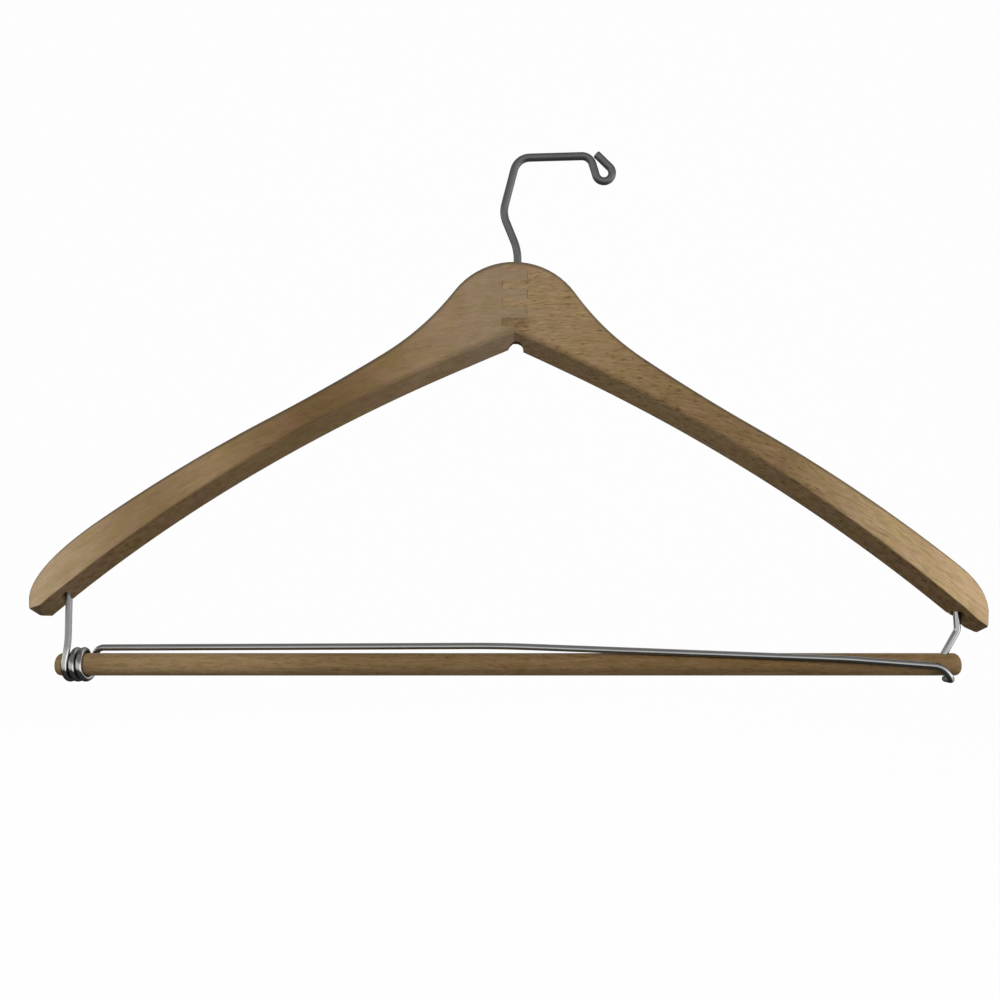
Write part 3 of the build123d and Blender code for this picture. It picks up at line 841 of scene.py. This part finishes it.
def wooden_body():
    """Both arms in one closed solid, with soft edges that grow crisp towards the tips."""
    body = settings("body")
    sections = []
    for side in (-1, 1):
        arm = list(enumerate(arm_sections(side)))
        for k, (top, ridge, edge) in (arm[::-1] if side < 0 else arm[1:]):
            points = ((top, -HALF_DEPTH), (top, HALF_DEPTH), (ridge, HALF_DEPTH), (edge, 0.0),
                      (ridge, -HALF_DEPTH))
            share = k / (len(arm) - 1)
            sections.append((share, [((BODY_OFFSET + side * p[0]) * MM, y * MM, p[1] * MM)
                                     for p, y in points]))
    shape = bmesh.new()
    widest = max(body.top_round, body.head_ridge_round)
    weights = shape.edges.layers.float.new("bevel_weight_edge")
    rows = [[shape.verts.new(p) for p in points] for _, points in sections]
    around = len(rows[0])
    for low, high in zip(rows, rows[1:]):
        for k in range(around):
            j = (k + 1) % around
            shape.faces.new((low[k], low[j], high[j], high[k]))
    for row in (rows[0], rows[-1]):
        for corners in ((0, 1, 3), (1, 2, 3), (0, 3, 4)):
            shape.faces.new([row[k] for k in corners])
        for k, j in ((0, 1), (1, 2), (2, 3), (3, 4), (4, 0), (0, 3), (1, 3)):
            shape.edges.get((row[k], row[j]))[weights] = body.end_round / widest
    for (share, _), low, high in zip(sections, rows, rows[1:]):
        soft = body.head_ridge_round + (body.tip_ridge_round - body.head_ridge_round) * share ** 0.4
        top = body.top_round + (body.tip_top_round - body.top_round) * share ** 3
        for corner, width in ((0, top), (1, top), (2, soft), (4, soft), (3, body.edge_round)):
            shape.edges.get((low[corner], high[corner]))[weights] = width / widest
    bmesh.ops.recalc_face_normals(shape, faces=shape.faces)
    mesh = bpy.data.meshes.new("body")
    shape.to_mesh(mesh)
    shape.free()
    piece = new_object("body", mesh)
    bevel = piece.modifiers.new("Soft edges", "BEVEL")
    bevel.limit_method = "WEIGHT"
    bevel.width = widest
    bevel.segments = 6
    bevel.use_clamp_overlap = False
    bevel.profile = 0.5
    return freeze(piece)


def prism(outline, front, back):
    """A block with an upright outline in X and Z, between two depths."""
    shape = bmesh.new()
    face = shape.faces.new([shape.verts.new((x * MM, front * MM, z * MM)) for x, z in outline])
    made = bmesh.ops.extrude_face_region(shape, geom=[face])
    moved = [v for v in made["geom"] if isinstance(v, bmesh.types.BMVert)]
    bmesh.ops.translate(shape, verts=moved, vec=(0.0, (back - front) * MM, 0.0))
    bmesh.ops.recalc_face_normals(shape, faces=shape.faces)
    mesh = bpy.data.meshes.new("block")
    shape.to_mesh(mesh)
    shape.free()
    return new_object("block", mesh)


def finger_rows():
    """Where each row of the finger joint ends, with its lower and upper height."""
    for row in range(-1, FINGER_ROWS):
        reach = FINGER_REACH if row % 2 == 0 else -FINGER_REACH
        high = FINGER_TOP - row * FINGER_HEIGHT if row >= 0 else HEAD_TOP + HALF_DEPTH
        yield BODY_OFFSET + reach, FINGER_TOP - (row + 1) * FINGER_HEIGHT, high


def joint_block(side):
    """The space that one arm may fill, with its fingers in the joint."""
    far = BODY_OFFSET + side * (HALF_SPAN + HALF_DEPTH)
    rows = list(finger_rows())
    outline = [(far, rows[0][2])]
    for x, low, high in rows:
        outline += [(x, high), (x, low)]
    outline += [(BODY_OFFSET, rows[-1][1]), (BODY_OFFSET, APEX - HALF_SPAN), (far, APEX - HALF_SPAN)]
    return prism(outline, -2 * HALF_DEPTH, 2 * HALF_DEPTH)


def finger_slots(side):
    """Cutters for the narrow gaps that the joint's glue leaves at the ends of one arm's fingers."""
    for k, (x, low, high) in enumerate(finger_rows()):
        if k == 0 or (k % 2 == 1) != (side < 0):
            continue
        inner = x + side * FINGER_GAP
        for face in (-1, 1):
            yield prism([(x, low + 0.3), (inner, low + 0.3), (inner, high - 0.3), (x, high - 0.3)],
                        face * (HALF_DEPTH - SLOT_DEPTH), face * (HALF_DEPTH + 1.0))


def edge_height(x):
    """The height of the lower edge at a place of the whole hanger."""
    return inner_height(0.0, abs(x - BODY_OFFSET))


def wire_hole(x, socket):
    """Cutters for a wire's hole, whose mouth is worn open towards the front."""
    edge = edge_height(x)
    low, top = edge - HALF_DEPTH, edge + socket[1]
    yield turned("hole", [(0.0, low), (socket[0], low), (socket[0], top), (HOLE_RADIUS, top),
                          (HOLE_RADIUS, top + HOLE_DEPTH), (0.0, top + HOLE_DEPTH)], (x, 0.0))
    for shift, share, wider in MOUTH_CUTS + ((FLANK_CUT,) if x > 0 else ()):
        radius, rise = socket[0] + wider, edge + MOUTH_RISE
        yield turned("mouth", [(0.0, low), (radius, low), (radius, rise), (0.0, rise)],
                     (x + shift, share * SOCKET_FRONT))


def notch():
    """A cutter for the round notch from front to back at the crotch."""
    x, z, radius = NOTCH
    steps = 40
    outline = [(x + radius * math.cos(a), z + radius * math.sin(a)) for a in
               (math.pi * k / steps for k in range(steps + 1))]
    return prism(outline + [(x - radius, z - HALF_DEPTH), (x + radius, z - HALF_DEPTH)],
                 -2 * HALF_DEPTH, 2 * HALF_DEPTH)


def shank_hole():
    """A cutter for the hook's shank, its countersunk top and the socket at the crotch."""
    low, top, sink = APEX - HALF_DEPTH, APEX + HOOK_SOCKET[1], SHANK_SINK
    return turned("hole", [(0.0, low), (HOOK_SOCKET[0], low), (HOOK_SOCKET[0], top), (SHANK_HOLE, top),
                           (SHANK_HOLE, HEAD_TOP - sink), (SHANK_HOLE + 2 * sink, HEAD_TOP + sink),
                           (SHANK_HOLE + 2 * sink, HEAD_TOP + HALF_DEPTH), (0.0, HEAD_TOP + HALF_DEPTH)],
                  (0.0, 0.0))


def flat_faces(piece):
    """Keep broad faces flat beside soft edges."""
    soften(piece.data)
    modifier = piece.modifiers.new("Flat faces", "WEIGHTED_NORMAL")
    modifier.keep_sharp = True
    modifier.weight = 60
    freeze(piece)


def finish_piece(piece, body, nodes, material=None):
    """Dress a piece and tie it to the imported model."""
    if material:
        piece.data.materials.clear()
        piece.data.materials.append(material)
    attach(piece, body)
    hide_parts(*nodes)


def at_bar(x, y, z):
    """A place seen from the middle of the bar, x along it."""
    return Vector((BAR_OFFSET + x * math.cos(BAR_TILT) - z * math.sin(BAR_TILT), y,
                   tip_place()[1] - BAR_DROP + x * math.sin(BAR_TILT) + z * math.cos(BAR_TILT)))


def touch_angle(centre, radius, outside, side):
    """The angle at which a straight line from an outside point touches a circle."""
    dx, dz = outside[0] - centre[0], outside[1] - centre[1]
    return math.atan2(dz, dx) + side * math.acos(radius / math.hypot(dx, dz))


def round_corners(centre, radius, start, end, count):
    """Corners whose bends, each of the given radius, follow a round from one angle to another."""
    half = (end - start) / count / 2
    far = radius / math.cos(half)
    return [((centre[0] + far * math.cos(start + half * (2 * k + 1)), 0.0,
              centre[1] + far * math.sin(start + half * (2 * k + 1))), radius) for k in range(count)]


def hook_corners():
    """The hook's line, from the riveted end of its shank to its tip."""
    start = touch_angle(CURL_CENTRE, CURL_RADIUS, HOOK_BENDS[-1][:2], 1) % (2 * math.pi)
    end = touch_angle(CURL_CENTRE, CURL_RADIUS, HOOK_TIP, -1) % (2 * math.pi) + 2 * math.pi
    corners = [((x, 0.0, z), bend) for x, z, bend in HOOK_BENDS]
    corners += round_corners(CURL_CENTRE, CURL_RADIUS, start, end, 4)
    return corners + [((HOOK_TIP[0], 0.0, HOOK_TIP[1]), 0.0)]


def coil_corners(coil_radius, bar_half):
    """The turns of the coil, from the front of the bar down and round to its back."""
    corners = []
    for k in range(COIL_HALF_TURNS * COIL_STEPS + 1):
        turns = k / COIL_STEPS
        left = COIL_HALF_TURNS - turns
        passed = turns * turns * (2 - turns) if turns < 1 else turns
        if left < 1:
            passed = COIL_HALF_TURNS - left * left * (2 - left)
        angle = math.pi * turns
        x = COIL_INSET - bar_half + COIL_PITCH / 2 * passed
        place = at_bar(x, -coil_radius * math.cos(angle), -COIL_SQUASH * coil_radius * math.sin(angle))
        corners.append((place, 0.0))
    return corners


def spring_corners(radius, bar_radius):
    """The left leg and the coil."""
    around = bar_radius + WIRE_TO_BAR + radius
    coil = coil_corners(around, BAR_LENGTH / 2)
    top = Vector((LEFT_HOLE, 0.0, edge_height(LEFT_HOLE) + LEFT_SOCKET[1] + HOLE_DEPTH - HOLE_SPARE))
    mouth = Vector((LEFT_HOLE, 0.0, edge_height(LEFT_HOLE) + 0.5))
    start = coil[0][0]
    knee = Vector((start.x + LEG_KNEE[0], LEG_KNEE[1] * start.y, start.z + LEG_KNEE[2]))
    straight = start + (at_bar(0, 0, 1) - at_bar(0, 0, 0)) * 2.0
    return [(top, 0.0), (mouth, 9.0), (knee, 40.0), (straight, 12.0)] + coil


def lock_corners(radius, bar_radius):
    """The long wire from the coil over the bar to the hooked end."""
    around = bar_radius + WIRE_TO_BAR + radius
    low = bar_radius + radius + LOCK_LIFT
    half = BAR_LENGTH / 2
    root = COIL_INSET - half + COIL_PITCH / 2 * COIL_HALF_TURNS
    inset, rise, bend = LOCK_CREST
    corners = [(at_bar(root, around, 0.1), 0.0), (at_bar(root, around, low - LOCK_DIP), 4.0),
               (at_bar(half - inset, 0.0, low + rise), bend)]
    return corners + [(at_bar(half - inset, low * across, low * up), bend)
                      for inset, across, up, bend in LOCK_BENDS]


def link_corners(bar_radius):
    """The bent wire from the right arm into the bar."""
    edge = edge_height(RIGHT_HOLE)
    top = Vector((RIGHT_HOLE, 0.0, edge + RIGHT_SOCKET[1] + HOLE_DEPTH - HOLE_SPARE))
    mouth = Vector((RIGHT_HOLE, 0.0, edge + LINK_MOUTH))
    bend = Vector((RIGHT_HOLE + LINK_BEND[0], 0.0, edge + LINK_BEND[1]))
    seat = at_bar(BAR_LENGTH / 2 - LINK_INSET, 0.0, bar_radius)
    foot = seat + (seat - bend).normalized() * LINK_DEPTH
    return [(top, 0.0), (mouth, 20.0), (bend, 4.0), (foot, 0.0)]


class HANGER_OT_stage(bpy.types.Operator):
    """Set up floor, backdrop, light and camera"""
    bl_idname = "hanger.stage"
    bl_label = "Stage"

    def execute(self, context):
        stage = settings("stage")
        scene = context.scene
        scene.view_settings.view_transform = "Standard"
        floor = CAD_BOX[0].z - stage.floor_drop
        profile = [(SWEEP_FRONT, floor), (SWEEP_BACK, floor)]
        profile += [(SWEEP_BACK + SWEEP_ROUND * math.sin(a), floor + SWEEP_ROUND * (1 - math.cos(a)))
                    for a in (math.pi / 2 * k / SWEEP_STEPS for k in range(1, SWEEP_STEPS + 1))]
        profile.append((SWEEP_BACK + SWEEP_ROUND, floor + SWEEP_HEIGHT))
        points = [(x, y, z) for y, z in profile for x in (-SWEEP_HALF_WIDTH, SWEEP_HALF_WIDTH)]
        faces = [(2 * k, 2 * k + 1, 2 * k + 3, 2 * k + 2) for k in range(len(profile) - 1)]
        mesh = bpy.data.meshes.new("sweep")
        mesh.from_pydata(points, [], faces)
        mesh.shade_smooth()
        mesh.materials.append(self.paper())
        sweep = new_object("sweep", mesh)
        self.lamp("key", stage.key_power, *KEY_LAMP)
        self.lamp("back", stage.back_power, *BACK_LAMP)
        self.world(stage)
        camera = bpy.data.objects.new("camera", bpy.data.cameras.new("camera"))
        scene.collection.objects.link(camera)
        camera.data.lens = stage.lens
        camera.data.sensor_width = 36.0
        camera.data.clip_start = 0.01
        level = Matrix.Rotation(math.radians(90), 4, "X")
        roll = Matrix.Rotation(-stage.camera_roll, 4, "Y")
        camera.matrix_world = Matrix.Translation(Vector(stage.camera_place)) @ roll @ level
        scene.camera = camera
        return {"FINISHED"}

    @staticmethod
    def seen(tree, gloss):
        """1 for rays that show the background: to the camera, through glass, in gloss by its share."""
        path = tree.nodes.new("ShaderNodeLightPath").outputs
        return math_node(tree, "MAXIMUM", math_node(tree, "MULTIPLY", path["Is Glossy Ray"], gloss),
                         math_node(tree, "MAXIMUM", path["Is Camera Ray"], path["Is Transmission Ray"]))

    def paper(self):
        """White paper that keeps shadows and shows painted reflections in gloss."""
        material, tree, shader = new_material("White paper", 0.9)
        place = tree.nodes.new("ShaderNodeTexCoord").outputs["Object"]
        # In gloss the paper shows white at the right and at 0.45 of its white far behind, and near the
        # hanger a painted dark tone of 0.08 instead of its own: painted reflections.
        far = remap(tree, node(tree, "ShaderNodeSeparateXYZ", {0: place}).outputs["Y"], 0.25, 0.8)
        right = remap(tree, node(tree, "ShaderNodeSeparateXYZ", {0: place}).outputs["X"], 0.34, 0.48)
        seen = self.seen(tree, math_node(tree, "MAXIMUM", right, math_node(tree, "MULTIPLY", far, 0.45)))
        fibres = noise(tree, stretched(tree, place, (160.0, 160.0, 160.0)), 3.0, 0.5)
        tone = mixed(tree, fibres, (0.78, 0.78, 0.78, 1.0), (0.82, 0.82, 0.82, 1.0))
        glossy = tree.nodes.new("ShaderNodeLightPath").outputs["Is Glossy Ray"]
        near = math_node(tree, "MULTIPLY_ADD", glossy, -0.42, 0.5)
        tree.links.new(mixed(tree, seen, near, tone), shader.inputs["Base Color"])
        glow = node(tree, "ShaderNodeEmission", {"Color": (1.0, 1.0, 1.0, 1.0), "Strength": 1.0})
        share = math_node(tree, "MULTIPLY", seen, 0.98)
        both = node(tree, "ShaderNodeMixShader", {0: share, 1: shader.outputs[0], 2: glow.outputs[0]})
        tree.links.new(both.outputs[0], tree.nodes["Material Output"].inputs["Surface"])
        return material

    @staticmethod
    def lamp(name, power, place, size):
        """A square soft lamp that faces the hanger and that gloss doesn't show."""
        lamp = bpy.data.lights.new(name, "AREA")
        lamp.energy = power
        lamp.size = size
        made = bpy.data.objects.new(name, lamp)
        bpy.context.scene.collection.objects.link(made)
        made.location = place
        made.visible_glossy = False
        low, high = CAD_BOX
        made.rotation_euler = ((low + high) / 2 - made.location).to_track_quat("-Z", "Y").to_euler()

    def world(self, stage):
        """Even light from all sides, white where it is seen, and the room that gloss shows."""
        world = bpy.data.worlds.new("studio")
        world.use_nodes = True
        tree = world.node_tree
        background = tree.nodes["Background"]
        background.inputs["Color"].default_value = (1.0, 1.0, 1.0, 1.0)
        towards = tree.nodes.new("ShaderNodeTexCoord").outputs["Object"]
        parts = node(tree, "ShaderNodeSeparateXYZ", {0: towards}).outputs
        below = remap(tree, parts["Z"], -0.5, -0.25, 0.0, stage.band_gloss)
        above = remap(tree, parts["Z"], 0.2, 0.5, 0.0, stage.band_gloss - stage.top_gloss)
        front = math_node(tree, "ADD", stage.front_gloss, math_node(tree, "SUBTRACT", below, above))
        back = remap(tree, parts["Y"], 0.1, 0.4)
        room = node(tree, "ShaderNodeMix", {0: back, 2: front, 3: stage.back_gloss}).outputs[0]
        right = math_node(tree, "MULTIPLY", remap(tree, parts["X"], 0.6, 0.75, 0.0, stage.side_gloss),
                          remap(tree, parts["Z"], 0.3, 0.1))
        left = remap(tree, parts["X"], -0.84, -0.94, 0.0, 0.7 * stage.side_gloss)
        room = math_node(tree, "MAXIMUM", room, math_node(tree, "MAXIMUM", right, left))
        path = tree.nodes.new("ShaderNodeLightPath").outputs
        shown = math_node(tree, "MAXIMUM", path["Is Camera Ray"], path["Is Transmission Ray"])
        light = node(tree, "ShaderNodeMix", {0: path["Is Glossy Ray"], 2: stage.ambient, 3: room})
        strength = node(tree, "ShaderNodeMix", {0: shown, 2: light.outputs[0], 3: 1.0}).outputs[0]
        tree.links.new(strength, background.inputs["Strength"])
        bpy.context.scene.world = world


class HANGER_OT_arms(bpy.types.Operator):
    """Shape both beech arms and cut their finger joint and holes"""
    bl_idname = "hanger.arms"
    bl_label = "Wooden Arms"

    def execute(self, context):
        whole = wooden_body()
        holes = {"left_arm": (LEFT_HOLE, LEFT_SOCKET), "right_arm": (RIGHT_HOLE, RIGHT_SOCKET)}
        for name, (x, socket) in holes.items():
            look = WOOD_LOOKS[name]
            side = look["side"]
            piece = new_object(f"{name}_beech", whole.data.copy())
            carve(piece, joint_block(side), "INTERSECT")
            carve(piece, shank_hole())
            carve(piece, notch())
            for slot in finger_slots(side):
                carve(piece, slot)
            for hole in wire_hole(x, socket):
                carve(piece, hole)
            flat_faces(piece)
            finish_piece(piece, "frame", [name], beech_material(f"Beech {name}", look))
        bpy.data.objects.remove(whole)
        return {"FINISHED"}


class HANGER_OT_bar(bpy.types.Operator):
    """Turn the trouser bar and drill it for the link wire"""
    bl_idname = "hanger.bar"
    bl_label = "Trouser Bar"

    def execute(self, context):
        body = settings("body")
        material = beech_material("Beech bar", WOOD_LOOKS["bar"])
        left, right = BAR_ENDS_INSET
        ends = [(at_bar(left - BAR_LENGTH / 2, 0, 0), 0.0), (at_bar(BAR_LENGTH / 2 - right, 0, 0), 0.0)]
        piece = stock_piece("trouser_bar_dowel", ends, body.bar_radius, BAR_END_ROUND, material, BAR_SIDES)
        radius = body.bar_radius / MM
        _, _, (bend, _), (foot, _) = link_corners(radius)
        drill = stock_piece("drill", [(bend, 0.0), (foot, 0.0)], HOLE_RADIUS * MM, 0.0001, material)
        carve(piece, drill)
        flat_faces(piece)
        finish_piece(piece, "frame", ["trouser_bar"], material)
        return {"FINISHED"}


class HANGER_OT_hook(bpy.types.Operator):
    """Bend the swivel hook and rivet it over its washer"""
    bl_idname = "hanger.hook"
    bl_label = "Swivel Hook"

    def execute(self, context):
        radius = settings("wires").hook_radius
        steel = hook_steel()
        piece = stock_piece("hook_bent_wire", hook_corners(), radius, 0.0005, steel)
        socket_top = APEX + HOOK_SOCKET[1]
        button, washer = (
            turned(name, [(out, socket_top - depth) for out, depth in profile], (0.0, 0.0), steel)
            for name, profile in (("button", BUTTON), ("hook_washer_ring", WASHER)))
        joined = bmesh.new()
        joined.from_mesh(piece.data)
        joined.from_mesh(button.data)
        joined.to_mesh(piece.data)
        joined.free()
        bpy.data.objects.remove(button)
        soften(piece.data)
        finish_piece(piece, "hook", ["swivel_hook"], steel)
        soften(washer.data)
        finish_piece(washer, "frame", ["hook_washer"], steel)
        return {"FINISHED"}


class HANGER_OT_wires(bpy.types.Operator):
    """Bend the spring wire, the lock wire and the link wire"""
    bl_idname = "hanger.wires"
    bl_label = "Spring, Lock and Link Wires"

    def execute(self, context):
        radius = settings("wires").spring_radius
        wire, bar = radius / MM, settings("body").bar_radius / MM
        for name, node_name, body, corners in (
            ("spring_coil_wire", "spring_wire", "frame", spring_corners(wire, bar)),
            ("lock_bent_wire", "lock_wire", "lock", lock_corners(wire, bar)),
            ("link_bent_wire", "link_wire", "frame", link_corners(bar)),
        ):
            piece = stock_piece(name, corners, radius, 0.0007, spring_steel())
            finish_piece(piece, body, [node_name])
        return {"FINISHED"}


class HANGER_PT_panel(bpy.types.Panel):
    """Lists the pieces of the hanger and their settings"""
    bl_idname = "HANGER_PT_panel"
    bl_label = "Trouser Hanger"
    bl_space_type = "VIEW_3D"
    bl_region_type = "UI"
    bl_category = "Hanger"

    def draw(self, context):
        for title, kind, operators in (
            ("Wood", "body", ("hanger.arms", "hanger.bar")),
            ("Wires", "wires", ("hanger.hook", "hanger.wires")),
            ("Finishes", "finish", ()),
            ("Stage", "stage", ("hanger.stage",)),
        ):
            box = self.layout.box()
            box.label(text=title)
            group = settings(kind)
            for name in group.__annotations__:
                box.prop(group, name)
            for operator in operators:
                box.operator(operator)


GROUPS = {"body": BodySettings, "wires": WireSettings, "finish": FinishSettings, "stage": StageSettings}
CLASSES = (*GROUPS.values(), HANGER_OT_stage, HANGER_OT_arms, HANGER_OT_bar, HANGER_OT_hook,
           HANGER_OT_wires, HANGER_PT_panel)


def register():
    """Register the classes and their settings."""
    for one in CLASSES:
        bpy.utils.register_class(one)
    for kind, group in GROUPS.items():
        setattr(bpy.types.Scene, f"{HANGER}_{kind}", bpy.props.PointerProperty(type=group))


def unregister():
    """Remove the settings and the classes."""
    for kind in GROUPS:
        delattr(bpy.types.Scene, f"{HANGER}_{kind}")
    for one in reversed(CLASSES):
        bpy.utils.unregister_class(one)


def main():
    """Build the hanger."""
    register()
    bpy.ops.hanger.stage()
    bpy.ops.hanger.arms()
    bpy.ops.hanger.bar()
    bpy.ops.hanger.hook()
    bpy.ops.hanger.wires()
    bpy.context.view_layer.update()


if __name__ == "__main__":
    main()
